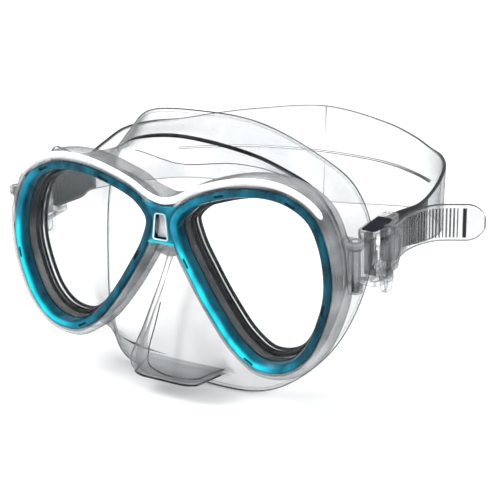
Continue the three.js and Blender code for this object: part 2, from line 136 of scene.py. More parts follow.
STRAP_LINE = [  # x, y, top, bottom
    (0, 96, 40, -10), (34.5, 90, 36.5, -6), (54, 78, 34, -1.5), (67, 66, 32, 0.5), (77, 53, 32, 1),
    (83.6, 38, 30.5, 2), (85.4, 23, 26, 3), (84.4, 8, 22.2, 4.6),
]
TAIL_LINE = [(2.7, 33), (2.8, 41.8), (5.3, 50), (9, 55.6), (13.9, 58.7), (19.2, 61.2), (27, 65)]

# ---------- curves ----------


def curve(points, closed, per_span):
    """Centripetal Catmull-Rom samples through the points; an open curve ends on its last point."""
    p = np.asarray(points, float)
    n = len(p)
    if not closed:
        p = np.vstack([2 * p[0] - p[1], p, 2 * p[-1] - p[-2]])
    at = (lambda i: p[i % n]) if closed else (lambda i: p[i + 1])
    t = (np.arange(per_span) / per_span)[:, None]
    out = []
    for k in range(n if closed else n - 1):
        a, b, c, d = at(k - 1), at(k), at(k + 1), at(k + 2)
        e, f, g = (max(np.linalg.norm(v - u), 1e-9) ** 0.5 for u, v in ((a, b), (b, c), (c, d)))
        m = ((b - a) / e - (c - a) / (e + f) + (c - b) / f) * f
        q = ((c - b) / f - (d - b) / (f + g) + (d - c) / g) * f
        out.append(b + m * t + (3 * (c - b) - 2 * m - q) * t**2 + (2 * (b - c) + m + q) * t**3)
    return np.vstack(out if closed else [*out, at(n - 1)[None]])


def by_length(line, count, closed):
    """The line again with samples spaced evenly along it."""
    whole = np.vstack([line, line[:1]]) if closed else line
    length = np.concatenate([[0], np.cumsum(np.linalg.norm(np.diff(whole, axis=0), axis=1))])
    want = np.linspace(0, length[-1], count + 1 if closed else count)
    out = np.column_stack([np.interp(want, length, whole[:, k]) for k in range(whole.shape[1])])
    return out[:-1] if closed else out


def smoothstep(value, low, high):
    t = np.clip((value - low) / (high - low), 0, 1)
    return t * t * (3 - 2 * t)


# ---------- meshes ----------


def solid(name, points, faces):
    """A mesh object from points in mm, with its faces turned outwards."""
    mesh = bpy.data.meshes.new(name)
    mesh.from_pydata((np.asarray(points, float) * MM).tolist(), [], faces)
    made = bmesh.new()
    made.from_mesh(mesh)
    bmesh.ops.recalc_face_normals(made, faces=made.faces)
    made.to_mesh(mesh)
    made.free()
    obj = bpy.data.objects.new(name, mesh)
    bpy.context.scene.collection.objects.link(obj)
    return obj


def skin(name, rings, loop=False):
    """A closed body through rings of points: a loop of rings, or a row of rings with capped ends."""
    rings = np.asarray(rings, float)
    count, around = rings.shape[:2]
    last = count if loop else count - 1
    quads = []
    for r in range(last):
        a, b = r * around, (r + 1) % count * around
        quads += [(a + i, a + (i + 1) % around, b + (i + 1) % around, b + i) for i in range(around)]
    if not loop:
        quads += [tuple(range(around)), tuple(range((count - 1) * around, count * around))]
    return solid(name, rings.reshape(-1, 3), quads)


def flipped(rings):
    return np.asarray(rings) * np.array([-1, 1, 1])


def gather(name, parts):
    """One object from several; the parts are removed."""
    whole = bmesh.new()
    for part in parts:
        whole.from_mesh(part.data)
        bpy.data.objects.remove(part)
    mesh = bpy.data.meshes.new(name)
    whole.to_mesh(mesh)
    whole.free()
    obj = bpy.data.objects.new(name, mesh)
    bpy.context.scene.collection.objects.link(obj)
    return obj


def boolean(base, tools, operation):
    """Joins the tools to base or cuts them from it, and removes them."""
    for tool in tools:
        step = base.modifiers.new(operation, "BOOLEAN")
        step.operation = operation
        step.solver = "MANIFOLD"
        step.object = tool
    graph = bpy.context.evaluated_depsgraph_get()
    mesh = bpy.data.meshes.new_from_object(base.evaluated_get(graph))
    mesh.materials.clear()
    base.modifiers.clear()
    base.data = mesh
    for tool in tools:
        bpy.data.objects.remove(tool)
    return base


def join(base, *tools):
    return boolean(base, tools, "UNION")


def cut(base, *tools):
    return boolean(base, tools, "DIFFERENCE")


def smooth(obj, angle=35):
    """Smooth shading with edges sharper than the angle kept crisp."""
    made = bmesh.new()
    made.from_mesh(obj.data)
    bmesh.ops.remove_doubles(made, verts=made.verts, dist=1e-7)
    limit = math.radians(angle)
    for face in made.faces:
        face.smooth = True
    for edge in made.edges:
        edge.smooth = edge.calc_face_angle(0) < limit
    made.to_mesh(obj.data)
    made.free()
    return obj


def places(obj):
    """The vertices' places in mm."""
    co = np.empty(len(obj.data.vertices) * 3)
    obj.data.vertices.foreach_get("co", co)
    return co.reshape(-1, 3) / MM


def paint(obj, name, values):
    """A float attribute from a function of the vertices' places in mm."""
    attribute = obj.data.attributes.new(name, "FLOAT", "POINT")
    attribute.data.foreach_set("value", np.clip(values(places(obj)), 0, 1).astype(np.float32))
    return obj


def creases(obj, low=15, high=29):
    """How sharply the mesh turns at each vertex: 0 where it is smooth, 1 along its edges."""
    made = bmesh.new()
    made.from_mesh(obj.data)
    turn = [max((edge.calc_face_angle(0) for edge in vert.link_edges), default=0) for vert in made.verts]
    made.free()
    return smoothstep(np.degrees(turn), low, high)


def hump(value, middle, width):
    """1 at the middle, falling to 0 a few widths away."""
    return np.exp(-((value - middle) / width) ** 2)


def dress(obj, *materials):
    for material in materials:
        obj.data.materials.append(material)
    return obj


def as_slot(obj, index):
    for polygon in obj.data.polygons:
        polygon.material_index = index
    return obj


SHOULDER = 0.3      # flat strip inside a plate's rounded edge, so that a painted dark edge line stays narrow
LEAST_SPREAD = 0.6  # a plate's inset stops growing at corners sharper than this cosine


def slab(name, outline, low, high, rounding, place):
    """A plate with rounded edges; place(a, b, c) turns outline (a, b) and height c into a point."""
    flat = np.asarray(outline, float)
    ahead = np.roll(flat, -1, 0) - flat
    behind = flat - np.roll(flat, 1, 0)
    ahead /= np.linalg.norm(ahead, axis=1)[:, None]
    behind /= np.linalg.norm(behind, axis=1)[:, None]
    normal = np.column_stack([ahead[:, 1] + behind[:, 1], -ahead[:, 0] - behind[:, 0]])
    normal /= np.linalg.norm(normal, axis=1)[:, None]
    area = np.sum(flat[:, 0] * np.roll(flat[:, 1], -1) - flat[:, 1] * np.roll(flat[:, 0], -1))
    normal *= np.sign(area)
    spread = np.sum(normal * np.column_stack([ahead[:, 1], -ahead[:, 0]]) * np.sign(area), 1)
    miter = 1 / np.maximum(spread, LEAST_SPREAD)
    steps = np.linspace(0, math.pi / 2, 4)
    rings = [(rounding + SHOULDER, low)]
    for a in steps:
        rings.append((rounding * (1 - math.sin(a)), low + rounding * (1 - math.cos(a))))
    for a in steps[::-1]:
        rings.append((rounding * (1 - math.sin(a)), high - rounding * (1 - math.cos(a))))
    rings.append((rounding + SHOULDER, high))
    return skin(name, [
        [place(x, y, c) for x, y in flat - normal * (miter * inset)[:, None]] for inset, c in rings
    ])


def tube(name, points, radii, loop=False, around=12, flat=1.0):
    """A round body along the points."""
    line = np.asarray(points, float)
    radii = np.broadcast_to(radii, len(line))
    if loop:
        along = np.roll(line, -1, 0) - np.roll(line, 1, 0)
    else:
        along = np.gradient(line, axis=0)
    along /= np.linalg.norm(along, axis=1)[:, None]
    depth = np.array([0, 1.0, 0])
    first = depth - along * (along @ depth)[:, None]
    first /= np.linalg.norm(first, axis=1)[:, None]
    second = np.cross(along, first)
    angles = np.linspace(0, 2 * math.pi, around, endpoint=False)
    rings = [p + r * (np.outer(np.cos(angles) * flat, a) + np.outer(np.sin(angles), b))
             for p, r, a, b in zip(line, radii, first, second)]
    return skin(name, rings, loop)


def plate_xz(name, outline, y0, y1, rounding=0.4):
    return slab(name, outline, y0, y1, rounding, lambda a, b, c: (a, c, b))


# ---------- eye rings ----------
EYE_POINTS = 224
EYE = by_length(curve(EYE_OUTLINE, True, 80), EYE_POINTS, True)
_along = np.roll(EYE, -1, 0) - np.roll(EYE, 1, 0)
EYE_NORMALS = np.column_stack([_along[:, 1], -_along[:, 0]]) / np.linalg.norm(_along, axis=1)[:, None]


def eye_rings(section):
    """One ring of points to each sample of the eye outline; section(normal) gives (outward, y)."""
    rings = []
    for (x, z), normal in zip(EYE, EYE_NORMALS):
        s = np.asarray(section(normal), float)
        rings.append(np.column_stack([x + normal[0] * s[:, 0], s[:, 1], z + normal[1] * s[:, 0]]))
    return np.array(rings)


def eye_plug(offset, *depths):
    """Rings of the eye's outline, moved outwards by the offset, at the depths."""
    flat = EYE + EYE_NORMALS * offset
    return [np.column_stack([flat[:, 0], np.full(EYE_POINTS, y), flat[:, 1]]) for y in depths]


def both(name, rings, loop):
    return [skin(name + "_l", rings, loop), skin(name + "_r", flipped(rings), loop)]


def rim_width(normal):
    across = RIM["side"] if normal[0] > 0 else RIM["nose"]
    along = RIM["top"] if normal[1] > 0 else RIM["bottom"]
    return across * normal[0] ** 2 + along * normal[1] ** 2


# distance outside the bezel's edge of the nearest eye outline, and place along it
def eye_field(points):
    flat = np.column_stack([np.abs(points[:, 0]), points[:, 2]])
    best = np.full(len(flat), 1e9)
    where = np.zeros(len(flat), int)
    for i in range(EYE_POINTS):
        d = np.hypot(*(flat - EYE[i]).T)
        closer = d < best
        best[closer] = d[closer]
        where[closer] = i
    outward = np.sum((flat - EYE[where]) * EYE_NORMALS[where], axis=1)
    return outward, where / EYE_POINTS

# ---------- materials ----------


def shader(name):
    material = bpy.data.materials.new(name)
    material.use_nodes = True
    tree = material.node_tree
    tree.nodes.clear()
    return material, tree


def node(tree, kind, inputs=None, **settings):
    made = tree.nodes.new(kind)
    for key, value in settings.items():
        setattr(made, key, value)
    for key, value in (inputs or {}).items():
        if isinstance(value, bpy.types.NodeSocket):
            tree.links.new(value, made.inputs[key])
        else:
            made.inputs[key].default_value = value
    return made


def maths(tree, operation, a, b=0.0, clamp=False):
    made = node(tree, "ShaderNodeMath", {0: a, 1: b}, operation=operation, use_clamp=clamp)
    return made.outputs[0]


def noise(tree, scale, detail=3.0, stretch=(1, 1, 1)):
    """Noise from 0 to 1 in the piece's own place; scale is in repeats to the metre."""
    place = node(tree, "ShaderNodeTexCoord").outputs["Object"]
    spread = node(tree, "ShaderNodeMapping", {"Vector": place, "Scale": stretch}).outputs[0]
    made = node(tree, "ShaderNodeTexNoise", {"Vector": spread, "Scale": scale, "Detail": detail})
    return made.outputs["Fac"]


def ranged(tree, value, low, high, start=0.35, end=0.65):
    made = node(tree, "ShaderNodeMapRange", {
        "Value": value, "From Min": start, "From Max": end, "To Min": low, "To Max": high})
    return made.outputs[0]


def mixed(tree, factor, a, b):
    """A colour between a and b."""
    made = node(tree, "ShaderNodeMix", data_type="RGBA")
    for socket, value in ((made.inputs[0], factor), (made.inputs[6], a), (made.inputs[7], b)):
        if isinstance(value, bpy.types.NodeSocket):
            tree.links.new(value, socket)
        else:
            socket.default_value = value if not isinstance(value, tuple) else (*value, 1)[:4]
    return made.outputs[2]


def bumps(tree, height, distance, strength=0.5):
    made = node(tree, "ShaderNodeBump", {"Height": height, "Distance": distance, "Strength": strength})
    return made.outputs[0]


def attribute(tree, name):
    return node(tree, "ShaderNodeAttribute", attribute_name=name).outputs["Fac"]


def mix_shader(tree, factor, a, b):
    return node(tree, "ShaderNodeMixShader", {0: factor, 1: a, 2: b}).outputs[0]


def output(tree, surface):
    node(tree, "ShaderNodeOutputMaterial", {"Surface": surface})


def see_through(name, haze, tone, edge, edge_power, roughness, grain, zone=55):
    """Clear plastic or silicone: see-through face on, with painted shade: dark at its edges, standing in for
    refraction, and where shade is painted onto the piece.

    zone is the repeats to the metre of its cloudier patches.
    """
    material, tree = shader(name)
    cloud = noise(tree, zone, 2)
    fine = noise(tree, 2600, 2)
    normal = bumps(tree, fine, grain)
    body = node(tree, "ShaderNodeBsdfPrincipled", {
        "Base Color": mixed(tree, ranged(tree, cloud, 0, 1), tuple(0.8 * t for t in tone), tone),
        "Roughness": ranged(tree, fine, roughness * 0.7, roughness * 1.4),
        "Normal": normal, "IOR": 1.45,
    }).outputs[0]
    # painted shade: a near-black surface mixed in at grazing edges and where shade is painted onto the piece
    painted_shade = node(tree, "ShaderNodeBsdfPrincipled", {
        "Base Color": mixed(tree, fine, (0.004, 0.005, 0.006), (0.022, 0.024, 0.026)),
        "Roughness": ranged(tree, fine, 0.3, 0.5), "Specular IOR Level": 0.12,
    }).outputs[0]
    clear = node(tree, "ShaderNodeBsdfTransparent", {"Color": (0.985, 0.99, 0.99, 1)}).outputs[0]
    facing = node(tree, "ShaderNodeLayerWeight", {"Blend": 0.5}).outputs["Facing"]
    steep = maths(tree, "MULTIPLY", maths(tree, "POWER", facing, edge_power), edge, True)
    veil = mix_shader(tree, ranged(tree, cloud, haze * 0.25, haze * 1.6), clear, body)
    output(tree, mix_shader(tree, maths(tree, "MAXIMUM", steep, attribute(tree, "painted_shade")), veil, painted_shade))
    return material


def teal_plastic():
    """Translucent teal moulding: deep at the edges, with painted light: a lighter teal on the lit front of
    the rings and a bright cyan painted highlight where light runs along their crest.
    """
    material, tree = shader("teal_plastic")
    streaks = noise(tree, 150, 4, (1, 1, 0.45))
    fine = noise(tree, 3000, 2)
    deep = mixed(tree, ranged(tree, streaks, 0, 1), (0.001, 0.022, 0.036), (0.004, 0.085, 0.13))
    middle = mixed(tree, ranged(tree, streaks, 0, 1), (0.002, 0.12, 0.19), (0.006, 0.27, 0.4))
    highlight_teal = mixed(tree, ranged(tree, streaks, 0, 1), (0.0, 0.52, 0.63), (0.004, 0.8, 0.9))
    # painted light: a lighter teal where the rings face the light, and on the bridge
    colour = mixed(tree, attribute(tree, "mid_teal_and_painted_light"), deep, middle)
    # painted highlight in bright cyan
    colour = mixed(tree, attribute(tree, "painted_highlight"), colour, highlight_teal)
    body = node(tree, "ShaderNodeBsdfPrincipled", {
        "Base Color": colour, "Roughness": ranged(tree, fine, 0.12, 0.22), "IOR": 1.45,
        "Normal": bumps(tree, fine, 0.00002), "Specular IOR Level": 0.16,
    }).outputs[0]
    clear = node(tree, "ShaderNodeBsdfTransparent", {"Color": (0.1, 0.6, 0.68, 1)}).outputs[0]
    output(tree, mix_shader(tree, ranged(tree, streaks, 0.86, 0.97), clear, body))
    return material


def solid_plastic(name, low, high, roughness, scale=900, grain=0.00002, gloss=0.5):
    material, tree = shader(name)
    cloud = noise(tree, scale, 3)
    wear = noise(tree, 120, 4)
    body = node(tree, "ShaderNodeBsdfPrincipled", {
        "Base Color": mixed(tree, ranged(tree, wear, 0, 1), low, high),
        "Roughness": ranged(tree, wear, roughness * 0.7, roughness * 1.5),
        "Normal": bumps(tree, cloud, grain), "Specular IOR Level": gloss,
    }).outputs[0]
    output(tree, body)
    return material


def lens_glass():
    material, tree = shader("lens_glass")
    smear = noise(tree, 40, 4)
    fresnel = node(tree, "ShaderNodeFresnel", {"IOR": 1.25}).outputs[0]
    clear = node(tree, "ShaderNodeBsdfTransparent", {"Color": (0.985, 0.995, 0.995, 1)}).outputs[0]
    mirror = node(tree, "ShaderNodeBsdfGlossy", {
        "Color": (0.9, 0.93, 0.94, 1), "Roughness": ranged(tree, smear, 0.02, 0.06)}).outputs[0]
    output(tree, mix_shader(tree, maths(tree, "MULTIPLY", fresnel, 0.6, True), clear, mirror))
    return material


def steel():
    material, tree = shader("steel")
    grain = noise(tree, 900, 3, (1, 1, 14))
    output(tree, node(tree, "ShaderNodeBsdfPrincipled", {
        "Base Color": mixed(tree, grain, (0.5, 0.51, 0.53), (0.8, 0.81, 0.83)),
        "Metallic": 1.0, "Roughness": ranged(tree, grain, 0.12, 0.3), "Normal": bumps(tree, grain, 0.00002),
    }).outputs[0])
    return material


SILICONE = see_through("clear_silicone", 0.17, (0.6, 0.62, 0.63), 0.9, 3.4, 0.22, 0.00004, 22)
STRAP = see_through("strap_silicone", 0.19, (0.58, 0.6, 0.61), 0.9, 4.5, 0.25, 0.00004, 30)
SEAM = see_through("strap_seam", 0.02, (0.66, 0.68, 0.69), 0.0, 4.5, 0.25, 0.00004)
CLEAR = see_through("clear_plastic", 0.22, (0.66, 0.68, 0.7), 0.85, 3.0, 0.07, 0.00001)
BUCKLE = see_through("buckle_plastic", 0.14, (0.66, 0.68, 0.71), 0.85, 3.2, 0.07, 0.00001)
WHITE = solid_plastic("white_inlay", (0.86, 0.87, 0.88), (0.93, 0.94, 0.94), 0.14)
PEARL = solid_plastic("pearl_panel", (0.42, 0.44, 0.46), (0.86, 0.87, 0.88), 0.12)
# near-black: the painted shade lines, the dark plates in the snap pockets and the strap's slit, and the lens
# gaskets
LINE = solid_plastic("dark_line", (0.004, 0.005, 0.006), (0.02, 0.022, 0.024), 0.3, gloss=0.12)
# smoke plastic of the strap rollers, also used for the dark plate on each buckle's top cheek, which is a
# painted dark reflection
SMOKE = solid_plastic("smoke_plastic", (0.003, 0.004, 0.008), (0.009, 0.011, 0.018), 0.4, gloss=0.02)
TEAL = teal_plastic()
GLASS = lens_glass()
STEEL = steel()


def make(obj, body, slot, *materials, nodes=()):
    """Gives a finished piece its materials and body, and hides the CAD parts it stands for; slot is not used.
    """
    dress(obj, *materials)
    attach(obj, body)
    if nodes:
        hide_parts(*nodes)
    return obj


# ---------- bezel ----------
BEZEL_SECTION = [
    (0, BEZEL_BACK), (0, FRONT + 2.4), (-0.08, FRONT + 1.1), (-0.4, FRONT + 0.4), (-1.0, FRONT + 0.06),
    (-1.7, FRONT), (-2.4, FRONT + 0.14), (-2.95, FRONT + 0.5), (-3.3, FRONT + 1.1), (-3.6, FRONT + 2.2),
    (-3.85, FRONT + 3.8), (-4, BEZEL_BACK),
]
BRIDGE = [(-13, 8), (-6, 8.9), (0, 9.2), (6, 8.9), (13, 8), (15, 29), (9, 26.6), (4.5, 25.2), (0, 24.9),
          (-4.5, 25.2), (-9, 26.6), (-15, 29)]
WINDOW = [(-3.4, 11.2), (3.4, 11.2), (2.3, 21.8), (-2.3, 21.8)]
SNAPS = (0.17, 0.315, 0.52, 0.73, 0.96)     # places of the snap windows round each eye
SNAP_INSET = 1.9                            # from the bezel's edge to their middle
SEAL_R, BORDER_R = 0.42, 0.3                # lens gasket, and the light border of the bridge window


def rounded(outline, radius, steps=5):
    """The outline with round corners."""
    flat = np.asarray(outline, float)
    out = []
    for before, corner, after in zip(np.roll(flat, 1, 0), flat, np.roll(flat, -1, 0)):
        a, b = before - corner, after - corner
        r = min(radius, np.linalg.norm(a) * 0.45, np.linalg.norm(b) * 0.45)
        start, end = corner + a / np.linalg.norm(a) * r, corner + b / np.linalg.norm(b) * r
        for t in np.linspace(0, 1, steps):
            out.append((1 - t) ** 2 * start + 2 * t * (1 - t) * corner + t * t * end)
    return np.array(out)


def snap_boxes(low, high, long, wide, name):
    """Little rounded blocks on the bezel's front face, lying along it, on both sides."""
    made = []
    for share in SNAPS:
        i = int(share * EYE_POINTS)
        normal = Vector((*EYE_NORMALS[i], 0)).to_2d()
        along = Vector((-normal.y, normal.x))
        centre = Vector(EYE[i]) - normal * SNAP_INSET
        corners = [centre + along * a * long + normal * b * wide
                   for a, b in ((-1, -1), (1, -1), (1, 1), (-1, 1))]
        outline = rounded([tuple(c) for c in corners], 0.25, 3)
        made.append(plate_xz(name, outline, low, high, 0.05))
        made.append(plate_xz(name, outline * [-1, 1], low, high, 0.05))
    return made


def make_bezel():
    rings = eye_rings(lambda normal: BEZEL_SECTION)
    bridge = plate_xz("bridge", rounded(BRIDGE, 1.0, 4), FRONT + 0.7, BEZEL_BACK, 0.7)
    lip_outline = rounded(np.array(WINDOW) * [1.35, 1.12] - [0, 2], 1.2)
    lip = plate_xz("lip", lip_outline, FRONT + 0.2, FRONT + 3, 0.4)
    hollow = eye_plug(-1.2, FRONT - 2, BEZEL_BACK + 2)
    cut(bridge, *both("hollow", hollow, False))
    whole = join(bridge, *both("ring", rings, True))
    join(whole, lip)
    cut(whole, plate_xz("window", rounded(WINDOW, 0.9), FRONT - 2, BEZEL_BACK + 2, 0.01))
    cut(whole, *snap_boxes(FRONT - 1, FRONT + 0.8, 2.3, 0.55, "pocket"))
    smooth(whole, 30)
    # dark plates laid in the snap pockets: painted shade in the recesses
    pocket_shades = [as_slot(part, 1) for part in snap_boxes(FRONT + 0.55, FRONT + 0.75, 2.2, 0.45, "shade")]
    panel = as_slot(plate_xz("panel", rounded(WINDOW, 0.9), FRONT + 3.4, FRONT + 4.6, 0.3), 2)
    edge_outline = by_length(rounded(np.array(WINDOW) * 1.02 - [0, 0.3], 1.0), 60, True)
    edge = [(x, FRONT + 0.3, z) for x, z in edge_outline]
    border = as_slot(tube("border", edge, BORDER_R, True, 8), 2)
    gasket = eye_plug(BEZEL_SECTION[-1][0] + 0.1, BEZEL_BACK)[0]
    seals = [as_slot(tube("seal", ring, SEAL_R, True, 8), 1) for ring in (gasket, flipped(gasket))]
    whole = smooth(gather("bezel_ring", [whole, *pocket_shades, panel, border, *seals]), 30)

    def leaning(points, where):
        """How far each place on a ring lies towards the wearer's right and down, from -1 to 1."""
        index = np.minimum((where * EYE_POINTS).astype(int), EYE_POINTS - 1)
        side = np.where(points[:, 0] < 0, -1, 1)
        return EYE_NORMALS[index][:, 0] * side * -0.86 + EYE_NORMALS[index][:, 1] * -0.5

    def mid_teal_and_painted_light(points):
        """Where the teal is of middle depth: painted light on the front of the rings on their lit side, and
        the whole bridge.
        """
        out, where = eye_field(points)
        front = 1 - smoothstep(points[:, 1], FRONT + 0.5, FRONT + 1.6)
        bridge = (np.abs(points[:, 0]) < 9) & (out > 0)
        # painted light falls on the side of each ring that leans towards the wearer's right and down
        lit = smoothstep(leaning(points, where), -0.75, 0.55)
        return np.where(bridge, 0.8, front * lit * smoothstep(-out, 0.2, 1.1))

    def painted_highlight(points):
        """Painted highlight: where light runs along the rings' crest, and along the foot of the bridge."""
        out, where = eye_field(points)
        lit = smoothstep(leaning(points, where), 0.3, 0.85)
        across = smoothstep(-out, 1.0, 1.6) * (1 - smoothstep(-out, 2.6, 3.2))
        near = smoothstep(-points[:, 2], -13, -4)
        ring = lit * across * near * (1 - smoothstep(points[:, 1], FRONT + 0.8, FRONT + 1.6))
        foot = hump(points[:, 2], 9.6, 1.1) * (np.abs(points[:, 0]) < 6) * 0.9
        return np.maximum(ring, np.where(out > 0, foot, 0))

    paint(whole, "mid_teal_and_painted_light", mid_teal_and_painted_light)
    paint(whole, "painted_highlight", painted_highlight)
    make(whole, "mask", "teal_plastic", TEAL, LINE, PEARL, nodes=["bezel"])


make_bezel()

# ---------- lenses ----------


def make_lenses():
    bevel = 0.6
    section = []
    for offset, y in ((-bevel, GLASS_FRONT), (0, GLASS_FRONT + bevel),
                      (0, GLASS_BACK - bevel), (-bevel, GLASS_BACK)):
        section.append(eye_plug(-GLASS_INSET + offset, y, y)[0])
    for name, rings in (("left", section), ("right", flipped(section))):
        pane = smooth(skin("lens_pane_" + name, rings), 20)
        make(pane, "mask", "lens_glass", GLASS, nodes=["lens_" + name])


make_lenses()

# ---------- frame ----------
CROWN = 4.6
RELIEF_MIDDLE = 17      # height of the middle of the bridge, from which its relief in the frame grows
BRIDGE_PLATE = [
    (-14, 3), (-9, 5), (0, 2), (9, 5), (14, 3), (18, 33), (9, 30.6), (0, 27.8), (-9, 30.6), (-18, 33),
]
BROW_BAND = [(-20, 30), (0, 25.3), (20, 30), (19, 34.6), (9, 30.8), (0, 27.8), (-9, 30.8), (-19, 34.6)]
EAR = {"inner": 7.7, "outer": 10.7, "r": 2.9, "root": 5.6}
KNUCKLE_R, SWIVEL_PIN_R = 2.8, 1.2

_yaw, _pitch = math.radians(SWIVEL["yaw"]), math.radians(SWIVEL["pitch"])
TURN = np.array([[math.cos(_yaw), math.sin(_yaw), 0], [-math.sin(_yaw), math.cos(_yaw), 0], [0, 0, 1]]) @ \
    np.array([[1, 0, 0], [0, math.cos(_pitch), -math.sin(_pitch)], [0, math.sin(_pitch), math.cos(_pitch)]])


def local(x, y, z=0.0):
    """A point of the left buckle's own frame, in the row frame."""
    return TURN @ np.array([x, y, z], float) + np.array(SWIVEL["place"])


def buckle_plate(name, outline, z0, z1, rounding=0.5):
    return slab(name, outline, z0, z1, rounding, local)


def circle(radius, x=0.0, y=0.0, sides=40):
    return [(x + radius * math.cos(a), y + radius * math.sin(a))
            for a in np.linspace(0, 2 * math.pi, sides, endpoint=False)]


def buckle_bar(name, radius, z0, z1, x=0.0, y=0.0, rounding=0.3):
    return buckle_plate(name, circle(radius, x, y), z0, z1, rounding)


def rectangle(x0, x1, y0, y1, radius=0.8):
    return rounded([(x0, y0), (x1, y0), (x1, y1), (x0, y1)], radius)


def other_side(obj, name):
    """The same piece on the wearer's right."""
    mesh = obj.data.copy()
    mesh.name = name
    copy = bpy.data.objects.new(name, mesh)
    bpy.context.scene.collection.objects.link(copy)
    mesh.transform(Matrix.Diagonal((-1, 1, 1, 1)))
    mesh.flip_normals()
    return copy


def frame_section(normal):
    width = rim_width(normal)
    crown = [(0.7 + (width - 0.7) * math.sin(a), FRAME_FRONT + CROWN * (1 - math.cos(a)))
             for a in np.linspace(0, math.pi / 2, 12)]
    return [(GAP, LIP_FRONT), (GAP, FRAME_FRONT + 0.5), (0.42, FRAME_FRONT + 0.12), *crown,
            (width, FRAME_BACK - 2.5), (width - 0.3, FRAME_BACK - 0.9), (width - 1, FRAME_BACK - 0.1),
            (width - 1.6, FRAME_BACK), (GAP - TUBE_OUTSET + 0.4, FRAME_BACK),
            (GAP - TUBE_OUTSET, FRAME_BACK - 0.4), (GAP - TUBE_OUTSET, LIP_FRONT)]


# the white inlay: where it starts and ends round each eye, its half width, and its place up the crown
INLAY_END, INLAY_NOSE = 0.118, 0.437
INLAY_HALF = 1.45
INLAY_SHARE = 0.62


def inlay_path():
    """The middle line of the white inlay, over both eyes and the bridge."""
    picks = np.linspace(INLAY_END, INLAY_NOSE, 40)
    side = []
    for share in picks:
        i = int(share * EYE_POINTS)
        width = rim_width(EYE_NORMALS[i])
        out = INLAY_SHARE * width
        lift = FRAME_FRONT + CROWN * (1 - math.sqrt(max(1 - (out / width) ** 2, 0))) - 0.05
        x, z = EYE[i] + EYE_NORMALS[i] * out
        side.append((x, lift, z))
    centre = [(7.0, FRAME_FRONT + 1.15, 28.6), (0, FRAME_FRONT + 1.1, 26.9),
              (-7.0, FRAME_FRONT + 1.15, 28.6)]
    keep = [p for p in side if p[0] > 11]
    path = curve([*keep, *centre, *(np.array(keep)[::-1] * [-1, 1, 1])], False, 6)
    return by_length(path, 260, False)


def make_frame():
    rings = eye_rings(frame_section)
    plate = plate_xz("plate", rounded(BRIDGE_PLATE, 2.5, 5), BEZEL_BACK + GAP, FRAME_BACK, 0.6)
    band = plate_xz("band", rounded(BROW_BAND, 3, 6), FRAME_FRONT + 1, FRAME_BACK, 1.2)
    whole = join(plate, band)
    pocket = eye_plug(GAP, FRAME_FRONT - 3, LIP_FRONT)
    opening = eye_plug(GAP - TUBE_OUTSET, LIP_FRONT - 1, FRAME_BACK + 2)
    cut(whole, *both("pocket", pocket, False))
    cut(whole, *both("opening", opening, False))
    clear_of = [(x * 1.04, z + math.copysign(0.35, z - RELIEF_MIDDLE)) for x, z in BRIDGE]
    cut(whole, plate_xz("relief", rounded(clear_of, 1.0, 4), FRONT - 2, BEZEL_BACK + GAP, 0.01))
    join(whole, *both("rim", rings, True))
    ear = buckle_bar("ear", EAR["r"], -EAR["outer"], EAR["outer"], rounding=0.7)
    root = buckle_plate("root", rectangle(-EAR["root"], 0, -EAR["r"], EAR["r"], 0.3),
                        -EAR["outer"], EAR["outer"], 0.6)
    ear = join(ear, root)
    clearance = KNUCKLE_R + 0.4
    room = buckle_plate("room", rectangle(-clearance, 12, -clearance, 12, 0.5),
                        -EAR["inner"], EAR["inner"], 0.1)
    bore = buckle_bar("bore", SWIVEL_PIN_R + GAP, -EAR["outer"] - 2, EAR["outer"] + 2, rounding=0.05)
    join(whole, other_side(ear, "ear_r"), ear)
    cut(whole, other_side(room, "room_r"), room)
    cut(whole, other_side(bore, "bore_r"), bore)
    cut(whole, skin("nose_relief", nose_rings(GAP + 0.4)))
    path = inlay_path()
    ends = np.minimum(np.arange(len(path)), np.arange(len(path))[::-1]) / 6
    taper = np.sqrt(1 - np.clip(1 - ends, 0, 1) ** 2 * 0.96)
    inlay = as_slot(tube("inlay", path, INLAY_HALF * taper, around=16, flat=0.32), 1)
    whole = gather("frame_shell", [smooth(whole, 28), smooth(inlay, 60)])
    edges = creases(whole)

    def painted_shade(points):
        """Painted shade: grey streaks that run round the rims, standing in for the way thick clear plastic
        shows its own walls, with a grey line along the bezel's edge, a greyer rear edge and dark edge lines.
        """
        out, where = eye_field(points)
        depth = points[:, 1] - FRAME_FRONT
        seam = 0.46 * hump(out, 0.35, 0.4)
        wall = np.where(depth > CROWN, 0.09 + 0.12 * np.sin(depth * 1.5), 0.02 + 0.14 * hump(out, 1.7, 0.5))
        upward = EYE_NORMALS[np.minimum((where * EYE_POINTS).astype(int), EYE_POINTS - 1)][:, 1]
        # painted light: the walls are drawn lighter where the rim faces upwards
        wall = wall * (1 - 0.65 * smoothstep(upward, 0.1, 0.5))
        rear = 0.35 * smoothstep(points[:, 1], FRAME_BACK - 1.4, FRAME_BACK - 0.4)
        return np.maximum.reduce([seam, wall, rear, 0.5 * edges])

    paint(whole, "painted_shade", painted_shade)
    make(whole, "mask", "clear_plastic", CLEAR, WHITE, nodes=["frame"])


# ---------- skirt ----------
SPAN_STEPS = 12
NOSE_STEPS = 8
SIGHT, THROAT = -5, -42.8       # the sight hole's outset, and where its short tube ends


def skirt_ring(half, inset=0.0):
    """The closed ring through a row of the skirt's right-hand points, moved inwards by the inset."""
    other = [(-x, y, z) for x, y, z in half[1:-1][::-1]]
    ring = curve([*half, *other][::-1], True, SPAN_STEPS)
    radial = ring * [1, 0, 1]
    radial /= np.linalg.norm(radial, axis=1)[:, None]
    return ring - radial * inset


